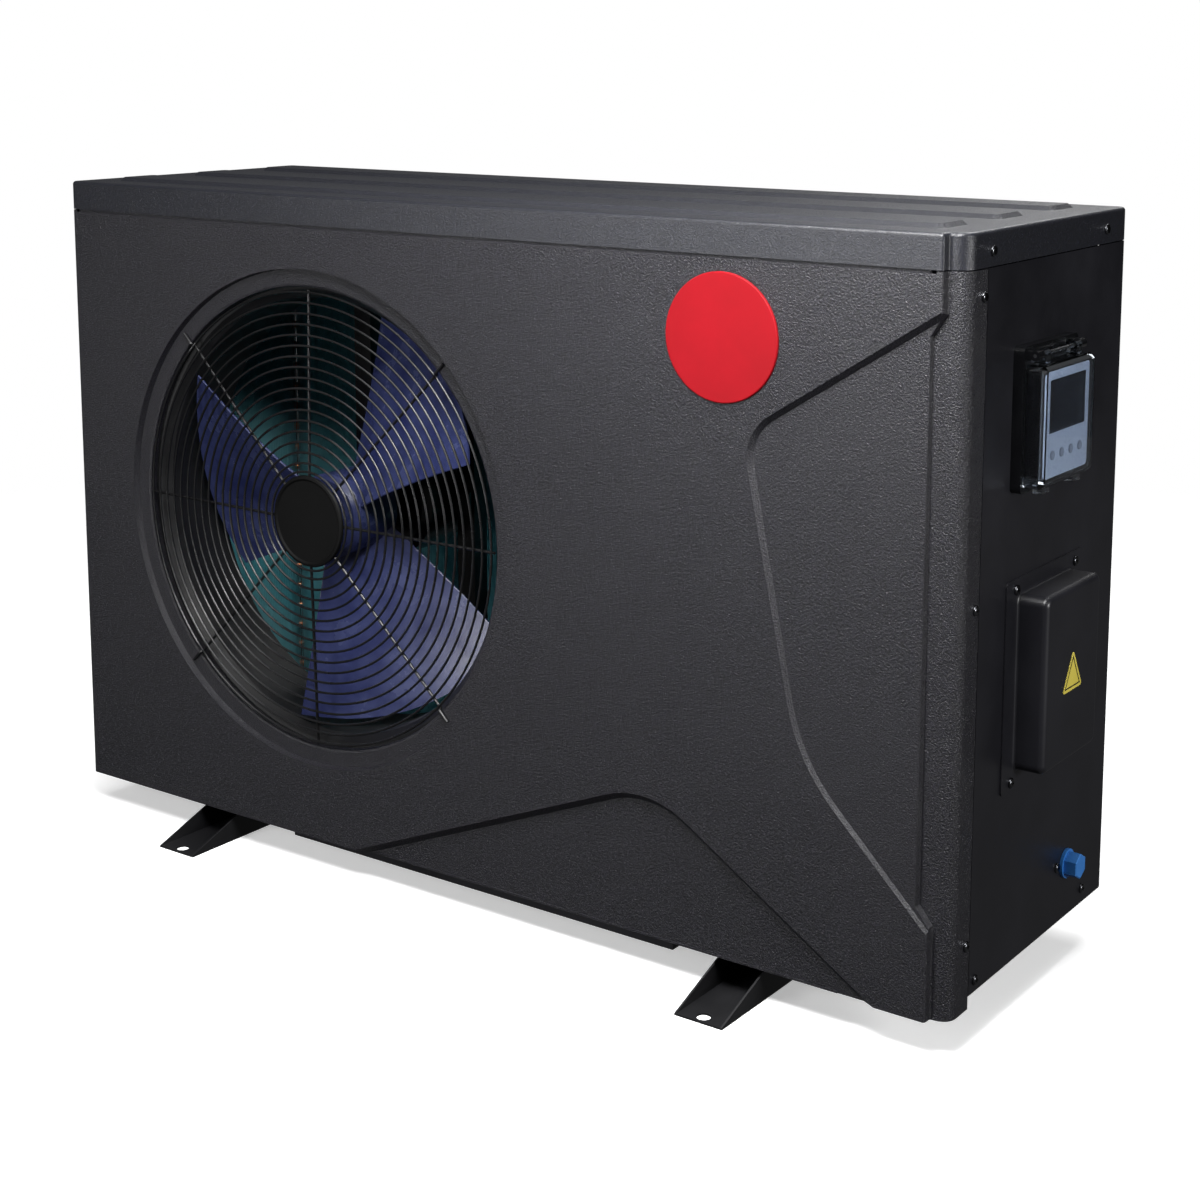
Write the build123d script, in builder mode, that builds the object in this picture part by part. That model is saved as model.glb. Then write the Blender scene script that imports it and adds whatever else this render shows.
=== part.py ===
from build123d import *
import os

# Air-source pool heat pump: a side-discharge cabinet standing on two folded feet.
#
# Frame: +X to the right and -Y to the front for someone facing the fan, +Z up, millimetres.
# The origin is on the ground, in the middle of the four anchor holes in the feet.

# ---- driving dimensions ---------------------------------------------------------------------
cabinet_width = 1115.0
cabinet_depth = 355.0
cabinet_height = 700.0
foot_height = 35.0
anchor_spacing_x = 692.0
anchor_spacing_y = 449.0
anchor_radius = 7.0
cabinet_offset = 203.0  # cabinet's left side to the left-hand anchor holes
skin = 2.0  # moulded front panel and lid
sheet = 1.5  # folded sheet steel
lid_skirt = 31.5
post_width = 19.0  # corner post at the right end of the front
post_setback = 10.0  # how far that post stands behind the front face
corner_radius = 14.0  # right front corner of the cabinet
front_wrap = 47.0  # how far the front panel wraps round on to each side
fan_from_left = 359.5
fan_from_bottom = 352.5
opening_radius = 250.0
dish_radius = 270.0
dish_depth = 8.0
fan_radius = 225.0
partition_from_left = 699.0

# ---- places worked out from them ------------------------------------------------------------
left = -anchor_spacing_x / 2 - cabinet_offset
right = left + cabinet_width
front = -cabinet_depth / 2
back = cabinet_depth / 2
floor = foot_height
top = floor + cabinet_height
lid_bottom = top - lid_skirt
step_x = right - post_width
fan_x = left + fan_from_left
fan_z = floor + fan_from_bottom
partition_x = left + partition_from_left
pan_bottom = floor + 10.5

front_plane = Plane(origin=(left, front, floor), x_dir=(1, 0, 0), z_dir=(0, -1, 0))
side_plane = Plane(origin=(right, front, floor), x_dir=(0, 1, 0), z_dir=(1, 0, 0))
rear_plane = Plane(origin=(0, back, floor), x_dir=(-1, 0, 0), z_dir=(0, 1, 0))
fan_section = Plane(origin=(fan_x, front, fan_z), x_dir=(1, 0, 0), z_dir=(0, 0, 1))
fan_front = Plane(origin=(fan_x, front, fan_z), x_dir=(1, 0, 0), z_dir=(0, -1, 0))
fan_axis = Axis((fan_x, front, fan_z), (0, 1, 0))

pieces = []


def finish_piece(builder, name):
    """Label a finished piece and put it on the list that is written out at the end."""
    builder.part.label = name
    pieces.append(builder.part)


def near(x=None, y=None, z=None, reach=0.6):
    """A test for shapes whose centre lies at the given coordinates."""

    def matches(shape):
        centre = shape.center()
        found = zip((x, y, z), (centre.X, centre.Y, centre.Z))
        return all(want is None or abs(want - have) < reach for want, have in found)

    return matches


def cabinet_plan(rear, rear_radius):
    """The cabinet's outline in plan, with the step that sets its right front corner back."""
    with BuildSketch() as plan:
        with BuildLine():
            Polyline(
                (left, rear),
                (left, front),
                (step_x, front),
                (step_x + 0.8, front + post_setback),
                (right, front + post_setback),
                (right, rear),
                close=True,
            )
        make_face()
        fillet(plan.vertices().filter_by(near(x=left, y=front)), radius=8)
        fillet(plan.vertices().filter_by(near(x=step_x, y=front)), radius=2.5)
        fillet(plan.vertices().filter_by(near(x=step_x + 0.8, y=front + post_setback)), radius=2)
        fillet(plan.vertices().filter_by(near(x=right, y=front + post_setback)), radius=corner_radius)
        if rear_radius:
            fillet(plan.vertices().filter_by(near(y=rear)), radius=rear_radius)
    return plan.sketch


# ---- base pan: a folded tray with a lip that shows under the front panel ------------------------
pan_inset = 4.0
pan_front = front + 12.5
pan_wall = 36.0
pan_corner = 10.0
lip_start = left + 320.0
lip_length = 502.0
lip_drop = 19.5
lip_depth = 13.5
lip_front = front + 10.5
drain_hole = (-120.0, 60.0)
drain_hole_radius = 6.0

with BuildPart() as base_pan:
    with BuildSketch(Plane.XY.offset(pan_bottom)):
        with Locations(((left + right) / 2, (pan_front + back - pan_inset) / 2)):
            RectangleRounded(cabinet_width - 2 * pan_inset, back - pan_inset - pan_front, pan_corner)
    extrude(amount=pan_wall)
    offset(amount=-sheet, openings=base_pan.faces().sort_by(Axis.Z)[-1])
    with BuildSketch(Plane.XY.offset(pan_bottom - lip_drop)):
        with Locations((lip_start + lip_length / 2, lip_front + lip_depth / 2)):
            Rectangle(lip_length, lip_depth)
    extrude(amount=lip_drop)
    with Locations((*drain_hole, pan_bottom)):
        Cylinder(drain_hole_radius, 10, mode=Mode.SUBTRACT)
finish_piece(base_pan, "base_pan")

# ---- condensate outlet: a barbed nipple pressed through the pan --------------------------------
with BuildPart() as condensate_outlet:
    with BuildSketch(Plane((*drain_hole, pan_bottom + sheet), x_dir=(1, 0, 0), z_dir=(0, -1, 0))):
        with BuildLine():
            Polyline((4, 3), (11, 3), (11, 0), (6, 0), (6, -sheet), (10, -sheet), (10, -4), (8, -4))
            Polyline((8, -4), (8, -24), (6, -24), (4, -22), (4, 3))
        make_face()
    revolve(axis=Axis((*drain_hole, 0), (0, 0, 1)))
finish_piece(condensate_outlet, "condensate_outlet")

# ---- feet: folded channels whose webs taper to the anchor holes ---------------------------------
foot_length = anchor_spacing_y + 20.0
foot_width = 52.5
foot_sheet = 2.0
web_slope_run = 120.0
foot_flange = 16.0
foot_top = pan_bottom

for side_name, foot_x in (("left", -anchor_spacing_x / 2), ("right", anchor_spacing_x / 2)):
    tip = foot_length / 2
    with BuildPart() as foot:
        with BuildSketch(Plane.YZ.offset(foot_x - foot_width / 2)):
            with BuildLine():
                Polyline(
                    (-tip, 0),
                    (tip, 0),
                    (tip, foot_sheet),
                    (tip - web_slope_run, foot_top),
                    (web_slope_run - tip, foot_top),
                    (-tip, foot_sheet),
                    close=True,
                )
            make_face()
        extrude(amount=foot_width)
        with BuildSketch(Plane.XZ.offset(-tip - 1)):
            with Locations((foot_x, foot_sheet + foot_top / 2)):
                Rectangle(foot_width - 2 * foot_sheet, foot_top)
        extrude(amount=foot_length + 2, mode=Mode.SUBTRACT)
        with BuildSketch(Plane.XY.offset(foot_top - foot_sheet)):
            for edge in (-1, 1):
                with Locations((foot_x + edge * (foot_width - foot_flange) / 2, 0)):
                    Rectangle(foot_flange - 2 * foot_sheet, foot_length - 2 * web_slope_run - 4)
        extrude(amount=foot_sheet)
        with GridLocations(0, anchor_spacing_y, 1, 2):
            with Locations((foot_x, 0, 0)):
                Cylinder(anchor_radius, 12, mode=Mode.SUBTRACT)
    finish_piece(foot, f"foot_{side_name}")

# ---- front panel: moulded skin with two pressed recesses and the fan's dish ----------------------
panel_height = lid_bottom - floor - 1.0
gap_under_lid = 3.2
right_recess_depth = 5.5
right_recess_fade = 2.5  # how much shallower the right recess is at its lower end
bottom_recess_depth = 7.0
recess_top = 655.4  # height at which the right recess runs out past the panel's end
right_recess_knee = (899.7, 509.0)
right_recess_waist = (962.6, 213.2)
tongue_length = step_x - left - 24.0  # the tongue behind the lid's skirt
tongue_middle = (step_x + left) / 2

with BuildPart() as right_recess:
    with BuildSketch(front_plane):
        with BuildLine():
            Polyline((1130, recess_top), right_recess_knee, right_recess_waist, (1130, 47.5), close=True)
        make_face()
        fillet(vertices().sort_by_distance(right_recess_knee)[0], radius=48)
        fillet(vertices().sort_by_distance(right_recess_waist)[0], radius=180)
    extrude(amount=-right_recess_depth - 1, taper=45)
    fade = Plane(
        origin=(0, front + right_recess_depth, floor + 632),
        z_dir=(0, 545, -right_recess_fade),
    )
    split(bisect_by=fade, keep=Keep.BOTTOM)

with BuildPart() as post_notch:
    with BuildSketch(front_plane):
        with BuildLine():
            Polyline((1082, 612), (1102, 642), (1102, 78), (1082, 104), close=True)
        make_face()
    extrude(amount=-post_setback, taper=12)

with BuildPart() as bottom_recess:
    with BuildSketch(front_plane):
        with BuildLine():
            Polyline((377.3, -16.7), (798.8, 155.3), (1071.8, -16.7), close=True)
        make_face()
        fillet(vertices().sort_by(Axis.Y)[-1], radius=100)
    extrude(amount=-bottom_recess_depth, taper=45)

with BuildPart() as panel_core:
    with BuildSketch(Plane.XY.offset(floor - 1)):
        add(cabinet_plan(front + front_wrap + 20, 0))
        offset(amount=-skin, mode=Mode.REPLACE)
    extrude(amount=panel_height + 2)
    with Locations((0, skin, 0)):
        add(right_recess.part, mode=Mode.SUBTRACT)
        add(post_notch.part, mode=Mode.SUBTRACT)
        add(bottom_recess.part, mode=Mode.SUBTRACT)

with BuildPart() as front_panel:
    with BuildSketch(Plane.XY.offset(floor)):
        add(cabinet_plan(front + front_wrap, 0))
    extrude(amount=panel_height)
    add(right_recess.part, mode=Mode.SUBTRACT)
    add(post_notch.part, mode=Mode.SUBTRACT)
    add(bottom_recess.part, mode=Mode.SUBTRACT)
    add(panel_core.part, mode=Mode.SUBTRACT)
    with Locations((left + 470, front - 1, floor + panel_height + 5 - gap_under_lid + 1)):
        Box(2 * 620, 2 * skin + 2, 10, mode=Mode.SUBTRACT)
    with Locations((left + 725, front + 8, floor + skin / 2)):
        Box(560, 4, skin)
    with Locations((tongue_middle, front + skin + 1.3, lid_bottom + 1)):
        Box(tongue_length, skin, 20)
        with Locations((0, -1.3, -8)):
            Box(tongue_length, 2.6, 4)
    with BuildSketch(fan_front):
        Circle(dish_radius)
    extrude(amount=-30, mode=Mode.SUBTRACT)
    with BuildSketch(fan_section):
        with BuildLine():
            Polyline(
                (dish_radius + 3.2, 0),
                (dish_radius + 1.5, 0),
                (dish_radius, 1.5),
                (dish_radius - 1, dish_depth),
                (opening_radius + 3, dish_depth),
                (opening_radius + 0.8, dish_depth + 0.8),
                (opening_radius, dish_depth + 3),
                (opening_radius, dish_depth + 9),
                (opening_radius + skin, dish_depth + 9),
                (opening_radius + skin, dish_depth + skin + 1),
                (dish_radius - 1 + skin, dish_depth + skin),
                (dish_radius + skin, skin),
                (dish_radius + 3.2, skin),
                close=True,
            )
        make_face()
    revolve(axis=fan_axis)
finish_piece(front_panel, "front_panel")

# ---- lid: a shallow moulded tray with three long raised ribs --------------------------------------
rib_height = 4.0
rib_length = cabinet_width - 74.0
rib_width = 57.0
rib_pitch = 114.0
lid_inner_top = top - skin

with BuildPart() as lid:
    with BuildSketch(Plane.XY.offset(lid_bottom)):
        add(cabinet_plan(back, 9))
    extrude(amount=lid_skirt)
    fillet(lid.faces().sort_by(Axis.Z)[-1].edges(), radius=3.5)
    with BuildSketch(Plane.XY.offset(top - 1)):
        with GridLocations(0, rib_pitch, 1, 3):
            with Locations(((left + right) / 2, 0)):
                RectangleRounded(rib_length, rib_width, 10)
    extrude(amount=rib_height + 1, taper=50)
    with BuildSketch(Plane.XY.offset(lid_bottom - 1)):
        add(cabinet_plan(back, 9))
        offset(amount=-skin, mode=Mode.REPLACE)
    extrude(amount=lid_skirt - skin + 1, mode=Mode.SUBTRACT)
    with BuildSketch(Plane.XY.offset(lid_inner_top - 1)):
        with GridLocations(0, rib_pitch, 1, 3):
            with Locations(((left + right) / 2, 0)):
                RectangleRounded(rib_length - 2, rib_width - 2, 9)
    extrude(amount=rib_height + 1, taper=50, mode=Mode.SUBTRACT)
finish_piece(lid, "lid")

# ---- right side panel: folded sheet with a return round the rear corner ----------------------------
side_bottom = floor + 11.7
side_top = lid_bottom - 1.0
rear_return = 28.0
wiring_opening = (186.0, 283.0)
wiring_opening_size = (96.0, 136.0)
controller_centre = (162.0, 528.0)
drain_plug_centre = (258.0, 67.5)
cable_hole_radius = 9.0
plug_hole_radius = 11.5

with BuildPart() as side_panel_right:
    with BuildSketch(Plane.XY.offset(side_bottom)):
        with BuildLine():
            Polyline(
                (right, front + front_wrap + 1),
                (right, back),
                (right - rear_return, back),
                (right - rear_return, back - sheet),
                (right - sheet, back - sheet),
                (right - sheet, front + front_wrap + 1),
                close=True,
            )
        make_face()
        fillet(vertices().sort_by_distance((right, back))[0], radius=9)
        fillet(vertices().sort_by_distance((right - sheet, back - sheet))[0], radius=7.5)
    extrude(amount=side_top - side_bottom)
    with BuildSketch(side_plane.offset(1)):
        with Locations(wiring_opening):
            Rectangle(*wiring_opening_size)
        with Locations(controller_centre):
            Circle(cable_hole_radius)
        with Locations(drain_plug_centre):
            Circle(plug_hole_radius)
    extrude(amount=-sheet - 2, mode=Mode.SUBTRACT)
finish_piece(side_panel_right, "side_panel_right")

# ---- rear service panel: flat sheet with the two water connections --------------------------------
water_x = left + 985.0
inlet_z = floor + 118.0
outlet_z = floor + 388.0
water_hole = 31.0
gland_hole = 8.2
gland_place = (right - 75.0, floor + 560.0)

with BuildPart() as rear_panel:
    with BuildSketch(Plane.XZ.offset(-back)):
        with BuildLine():
            Polyline(
                (partition_x, side_bottom),
                (right - rear_return - 1, side_bottom),
                (right - rear_return - 1, side_top),
                (partition_x, side_top),
                close=True,
            )
        make_face()
        with Locations((water_x, inlet_z), (water_x, outlet_z)):
            Circle(water_hole, mode=Mode.SUBTRACT)
        with Locations(gland_place):
            Circle(gland_hole, mode=Mode.SUBTRACT)
    extrude(amount=sheet)
finish_piece(rear_panel, "rear_panel")

# ---- rear left corner post: folded angle that closes the coil's corner ------------------------------
post_leg = 30.0
with BuildPart() as corner_post:
    with BuildSketch(Plane.XY.offset(side_bottom)):
        with BuildLine():
            Polyline(
                (left, back - post_leg),
                (left, back),
                (left + post_leg, back),
                (left + post_leg, back - sheet),
                (left + sheet, back - sheet),
                (left + sheet, back - post_leg),
                close=True,
            )
        make_face()
        fillet(vertices().sort_by_distance((left, back))[0], radius=9)
        fillet(vertices().sort_by_distance((left + sheet, back - sheet))[0], radius=7.5)
    extrude(amount=side_top - side_bottom)
finish_piece(corner_post, "corner_post")

# ---- coil guards: welded wire grids over the open rear and left sides -------------------------------
guard_wire = 1.6  # radius
weld_gap = 0.02
guard_pitch = 24.0
guard_rows = 26
brace_gap = 96.0
guard_low = floor + 56.0


def wire_grid(start, run, outward, length):
    """A grid of level wires with upright braces welded on their inner side."""
    with BuildPart() as grid:
        for row in range(guard_rows):
            height = Vector(0, 0, guard_low + row * guard_pitch)
            with BuildSketch(Plane(origin=start + height, z_dir=run)):
                Circle(guard_wire)
            extrude(amount=length)
        braces = int(length // brace_gap) + 1
        first = (length - (braces - 1) * brace_gap) / 2
        for number in range(braces):
            along = run * (first + number * brace_gap)
            inward = outward * (-2 * guard_wire - weld_gap)
            with BuildSketch(Plane(origin=start + along + inward + Vector(0, 0, guard_low - 8))):
                Circle(guard_wire)
            extrude(amount=(guard_rows - 1) * guard_pitch + 16)
    return grid


guard_rear = wire_grid(
    Vector(left + post_leg + 1, back - 3, 0),
    Vector(1, 0, 0),
    Vector(0, 1, 0),
    partition_x - left - post_leg - 2,
)
finish_piece(guard_rear, "guard_rear")

guard_left = wire_grid(
    Vector(left + 3, front + front_wrap + 1, 0),
    Vector(0, 1, 0),
    Vector(-1, 0, 0),
    cabinet_depth - front_wrap - post_leg - 2,
)
finish_piece(guard_left, "guard_left")

# ---- fan guard: 18 wire rings welded on 8 spokes, with a round plate in the middle ------------------
ring_wire = 1.3  # radius
spoke_wire = 1.6
first_ring = 53.6
second_ring = 62.8
ring_pitch = 11.38
ring_count = 18
guard_dome = 5.0 / 191.0  # how fast the rings drop back towards the rim
ring_setback = 2.0
spoke_end = 247.0
hook_end = 263.0
plate_radius = 48.5

ring_radii = [first_ring] + [second_ring + ring_pitch * n for n in range(ring_count - 1)]


def ring_depth(radius):
    """How far the guard's wires lie behind the front face at a given radius."""
    return ring_setback + (radius - first_ring) * guard_dome


with BuildPart() as fan_guard:
    with BuildSketch(fan_section):
        for radius in ring_radii:
            with Locations((radius, ring_depth(radius))):
                Circle(ring_wire)
    revolve(axis=fan_axis)
    inner = plate_radius - 4
    lift = ring_wire + spoke_wire + weld_gap
    end_depth = ring_depth(spoke_end) + lift
    for turn in range(8):
        with BuildPart(mode=Mode.PRIVATE) as spoke:
            with BuildLine(fan_section) as path:
                if turn % 2:
                    FilletPolyline(
                        (inner, ring_depth(inner) + lift),
                        (spoke_end, end_depth),
                        (spoke_end + 1, end_depth - 4.1),
                        (hook_end, end_depth - 4.1),
                        radius=1.8,
                    )
                else:
                    Line((inner, ring_depth(inner) + lift), (spoke_end, end_depth))
            with BuildSketch(Plane(origin=path.wire() @ 0, z_dir=path.wire() % 0)):
                Circle(spoke_wire)
            sweep()
        add(spoke.part.rotate(fan_axis, turn * 45))
finish_piece(fan_guard, "fan_guard")

with BuildPart() as guard_plate:
    with BuildSketch(fan_section):
        with BuildLine():
            Polyline((0, 1), (44, 1), (46, -0.5), (48.5, 0), (49.6, 2), (49.6, 3.0), (0, 3.0), close=True)
        make_face()
    revolve(axis=fan_axis)
finish_piece(guard_plate, "guard_plate")

# ---- fan shroud: bell mouth bolted behind the front panel -------------------------------------------
shroud_front = dish_depth + 9.5
shroud_radius = 236.0
shroud_rear = 104.0
with BuildPart() as fan_shroud:
    with BuildSketch(fan_section):
        with BuildLine():
            Polyline(
                (286, shroud_front),
                (256, shroud_front),
                (246, shroud_front + 3),
                (shroud_radius + 2, shroud_front + 12),
                (shroud_radius, shroud_front + 22),
                (shroud_radius, shroud_rear),
                (shroud_radius + skin, shroud_rear),
                (shroud_radius + skin, shroud_front + 22.5),
                (shroud_radius + 4, shroud_front + 13),
                (248, shroud_front + 5),
                (256.5, shroud_front + 2),
                (286, shroud_front + 2),
                close=True,
            )
        make_face()
    revolve(axis=fan_axis)
finish_piece(fan_shroud, "fan_shroud")

# ---- fan: three wide swept blades moulded on one hub ------------------------------------------------
hub_radius = 46.0
hub_front = 30.0
hub_length = 62.0
shaft_radius = 6.0
blade_middle = 62.0  # depth of the blades' middle behind the front face
blade_thickness = 2.6

with BuildPart() as blade:
    for distance, chord, pitch, sweep_shift in (
        (30, 74, 40, 0),
        (90, 140, 30, -8),
        (160, 222, 23, -22),
        (240, 320, 17, -40),
    ):
        blade_plane = Plane(
            origin=(fan_x + distance, front + blade_middle, fan_z + sweep_shift),
            x_dir=Vector(0, 0, 1).rotate(Axis.X, -pitch),
            z_dir=(1, 0, 0),
        )
        with BuildSketch(blade_plane):
            SlotOverall(chord, blade_thickness)
    loft()
    with BuildSketch(fan_front):
        Circle(fan_radius)
        Circle(hub_radius - 2, mode=Mode.SUBTRACT)
    extrude(amount=-200, mode=Mode.INTERSECT)

with BuildPart() as fan:
    with BuildSketch(fan_section):
        with BuildLine():
            Polyline(
                (shaft_radius, hub_front),
                (hub_radius - 6, hub_front),
                (hub_radius, hub_front + 6),
                (hub_radius, hub_front + hub_length),
                (hub_radius - 3, hub_front + hub_length),
                (hub_radius - 3, hub_front + 7),
                (18, hub_front + 7),
                (16, hub_front + hub_length - 8),
                (shaft_radius, hub_front + hub_length - 8),
                close=True,
            )
        make_face()
    revolve(axis=fan_axis)
    for turn in range(3):
        add(blade.part.rotate(fan_axis, 60 + 120 * turn))
finish_piece(fan, "fan")

# ---- fan nut, motor shaft, motor and its bracket -----------------------------------------------------
motor_front = 112.0
motor_radius = 62.0
motor_length = 92.0
rail_spacing = 150.0
rail_depth = 22.0
rail_front = motor_front + motor_length - 30.0

with BuildPart() as fan_nut:
    with BuildSketch(fan_front.offset(-hub_front)):
        RegularPolygon(9, 6, major_radius=False)
        Circle(shaft_radius, mode=Mode.SUBTRACT)
    extrude(amount=7)
finish_piece(fan_nut, "fan_nut")

with BuildPart() as motor_shaft:
    with BuildSketch(fan_front.offset(-hub_front + 10)):
        Circle(shaft_radius)
    extrude(amount=-(motor_front + 24 - hub_front + 10))
    chamfer(motor_shaft.edges().sort_by(Axis.Y)[0], length=1)
finish_piece(motor_shaft, "motor_shaft")

with BuildPart() as fan_motor:
    with BuildSketch(fan_section):
        with BuildLine():
            Polyline(
                (shaft_radius + 0.05, motor_front),
                (20, motor_front),
                (20, motor_front + 8),
                (motor_radius - 8, motor_front + 12),
                (motor_radius, motor_front + 20),
                (motor_radius, motor_front + motor_length - 10),
                (motor_radius - 10, motor_front + motor_length),
                (0, motor_front + motor_length),
                (0, motor_front + 25),
                (shaft_radius + 0.05, motor_front + 25),
                close=True,
            )
        make_face()
    revolve(axis=fan_axis)
    with BuildSketch(fan_front.offset(-rail_front + 4)):
        for edge in (-1, 1):
            with Locations((edge * 66, 0)):
                Rectangle(40, 26)
        Circle(motor_radius - 1, mode=Mode.SUBTRACT)
    extrude(amount=4)
finish_piece(fan_motor, "fan_motor")

with BuildPart() as motor_bracket:
    for edge in (-1, 1):
        rail_x = fan_x + edge * rail_spacing / 2
        with BuildSketch(Plane.XY.offset(pan_bottom + sheet)):
            with Locations((rail_x, front + rail_front + rail_depth / 2)):
                Rectangle(24, rail_depth)
            with Locations((rail_x, front + rail_front + rail_depth / 2 + sheet)):
                Rectangle(24 - 2 * sheet, rail_depth, mode=Mode.SUBTRACT)
        extrude(amount=lid_inner_top - pan_bottom - sheet)
finish_piece(motor_bracket, "motor_bracket")

# ---- partition plate between the fan side and the compressor side ------------------------------------
partition_inset = 9.0
valve_y = 60.0
gas_pipe_z = 425.0
liquid_pipe_y = 66.0
liquid_pipe_z = 110.0
pipe_hole = 11.0
with BuildPart() as partition_plate:
    with BuildSketch(Plane.YZ.offset(partition_x)):
        with BuildLine():
            Polyline(
                (pan_front + 3, pan_bottom + sheet),
                (back - partition_inset, pan_bottom + sheet),
                (back - partition_inset, lid_inner_top),
                (pan_front + 3, lid_inner_top),
                close=True,
            )
        make_face()
        with Locations((valve_y, gas_pipe_z), (liquid_pipe_y, liquid_pipe_z)):
            Circle(pipe_hole, mode=Mode.SUBTRACT)
    extrude(amount=sheet)
finish_piece(partition_plate, "partition_plate")

# ---- evaporator coil: fin packs on two sides, end plates, and copper tubes where they show -----------
fin_depth = 26.0
fin_thickness = 0.9
fin_pitch = 8.0
fin_low = floor + 20.0
fin_height = 626.0
tube_rows = 24
tube_pitch = fin_height / tube_rows
tube_radius = 4.8
coil_rear_y = back - 26.0
coil_left_x = left + 26.0
coil_corner = 30.0
rear_fins_start = coil_left_x + coil_corner
rear_fins_end = partition_x - 26.0
left_fins_start = front + front_wrap + 6.0
left_fins_end = coil_rear_y - coil_corner

with BuildPart() as evaporator_fins:
    with BuildSketch(Plane.XY.offset(fin_low)):
        rear_count = int((rear_fins_end - rear_fins_start) // fin_pitch) + 1
        left_count = int((left_fins_end - left_fins_start) // fin_pitch) + 1
        for number in range(rear_count):
            with Locations((rear_fins_start + number * fin_pitch, coil_rear_y)):
                Rectangle(fin_thickness, fin_depth)
        for number in range(left_count):
            with Locations((coil_left_x, left_fins_end - number * fin_pitch)):
                Rectangle(fin_depth, fin_thickness)
    extrude(amount=fin_height)
finish_piece(evaporator_fins, "evaporator_fins")

with BuildPart() as coil_end_plates:
    with BuildSketch(Plane.XY.offset(fin_low - 6)):
        with Locations((rear_fins_end + 3, coil_rear_y)):
            Rectangle(sheet, fin_depth + 4)
        with Locations((coil_left_x, left_fins_start - 5)):
            Rectangle(fin_depth + 4, sheet)
    extrude(amount=fin_height + 12)
finish_piece(coil_end_plates, "coil_end_plates")

with BuildPart() as evaporator_tubes:
    bend_start = rear_fins_end + 3 + sheet / 2
    for row in range(tube_rows // 2):
        low = fin_low + tube_pitch * (2 * row + 0.5)
        with BuildPart(mode=Mode.PRIVATE) as return_bend:
            with BuildLine(Plane.XZ.offset(-coil_rear_y)) as path:
                ThreePointArc(
                    (bend_start, low),
                    (bend_start + tube_pitch / 2, low + tube_pitch / 2),
                    (bend_start, low + tube_pitch),
                )
            with BuildSketch(Plane(origin=path.wire() @ 0, z_dir=path.wire() % 0)):
                Circle(tube_radius)
            sweep()
        add(return_bend.part)
        side_start = left_fins_start - 5 - sheet / 2
        with BuildPart(mode=Mode.PRIVATE) as side_bend:
            with BuildLine(Plane.YZ.offset(coil_left_x)) as path:
                ThreePointArc(
                    (side_start, low),
                    (side_start - tube_pitch / 2, low + tube_pitch / 2),
                    (side_start, low + tube_pitch),
                )
            with BuildSketch(Plane(origin=path.wire() @ 0, z_dir=path.wire() % 0)):
                Circle(tube_radius)
            sweep()
        add(side_bend.part)
    for row in range(tube_rows):
        height = fin_low + tube_pitch * (row + 0.5)
        with BuildPart(mode=Mode.PRIVATE) as corner_tube:
            with BuildLine(Plane.XY.offset(height)) as path:
                RadiusArc(
                    (coil_left_x, left_fins_end + fin_thickness),
                    (rear_fins_start - fin_thickness, coil_rear_y),
                    coil_corner - fin_thickness,
                )
            with BuildSketch(Plane(origin=path.wire() @ 0, z_dir=path.wire() % 0)):
                Circle(tube_radius)
            sweep()
        add(corner_tube.part)
finish_piece(evaporator_tubes, "evaporator_tubes")

# ---- compressor on its rubber feet, with the suction accumulator --------------------------------------
compressor_place = (left + 845.0, -40.0)
compressor_radius = 66.0
compressor_height = 290.0
pan_floor = pan_bottom + sheet
rubber_height = 16.0
compressor_low = pan_floor + rubber_height
mount_circle = 88.0

with BuildPart() as compressor:
    with BuildSketch(Plane.XY.offset(compressor_low)):
        Circle(mount_circle + 14)
        with PolarLocations(mount_circle, 3, start_angle=60):
            Circle(5, mode=Mode.SUBTRACT)
        with PolarLocations(mount_circle + 55, 3, start_angle=0):
            Circle(62, mode=Mode.SUBTRACT)
    extrude(amount=3)
    with BuildSketch(Plane.XY.offset(compressor_low + 3)):
        Circle(compressor_radius)
    extrude(amount=compressor_height)
    fillet(compressor.faces().sort_by(Axis.Z)[-1].edges(), radius=26)
    with BuildSketch(Plane.XY.offset(compressor_low + 3 + compressor_height * 0.3)):
        Circle(compressor_radius + 1.2)
        Circle(compressor_radius, mode=Mode.SUBTRACT)
    extrude(amount=9)
compressor.part.position += (*compressor_place, 0)
finish_piece(compressor, "compressor")

with BuildPart() as compressor_mounts:
    with Locations((*compressor_place, pan_floor)):
        with PolarLocations(mount_circle, 3, start_angle=60):
            Cylinder(12, rubber_height, align=(Align.CENTER, Align.CENTER, Align.MIN))
            Cylinder(4, rubber_height, align=(Align.CENTER, Align.CENTER, Align.MIN), mode=Mode.SUBTRACT)
finish_piece(compressor_mounts, "compressor_mounts")

with BuildPart() as compressor_bolts:
    with Locations((*compressor_place, pan_floor)):
        with PolarLocations(mount_circle, 3, start_angle=60):
            Cylinder(3.9, rubber_height + 8, align=(Align.CENTER, Align.CENTER, Align.MIN))
    with BuildSketch(Plane.XY.offset(compressor_low + 3)):
        with Locations(compressor_place):
            with PolarLocations(mount_circle, 3, start_angle=60):
                RegularPolygon(7, 6)
    extrude(amount=5)
finish_piece(compressor_bolts, "compressor_bolts")

accumulator_place = (left + 945.0, -92.0)
accumulator_radius = 34.0
accumulator_low = pan_floor + 60.0
accumulator_height = 190.0
with BuildPart() as accumulator:
    with Locations((*accumulator_place, accumulator_low)):
        Cylinder(accumulator_radius, accumulator_height, align=(Align.CENTER, Align.CENTER, Align.MIN))
    fillet(accumulator.edges().filter_by(GeomType.CIRCLE), radius=20)
    with Locations((*accumulator_place, pan_floor)):
        Cylinder(7, 62, align=(Align.CENTER, Align.CENTER, Align.MIN))
finish_piece(accumulator, "accumulator")

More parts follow.
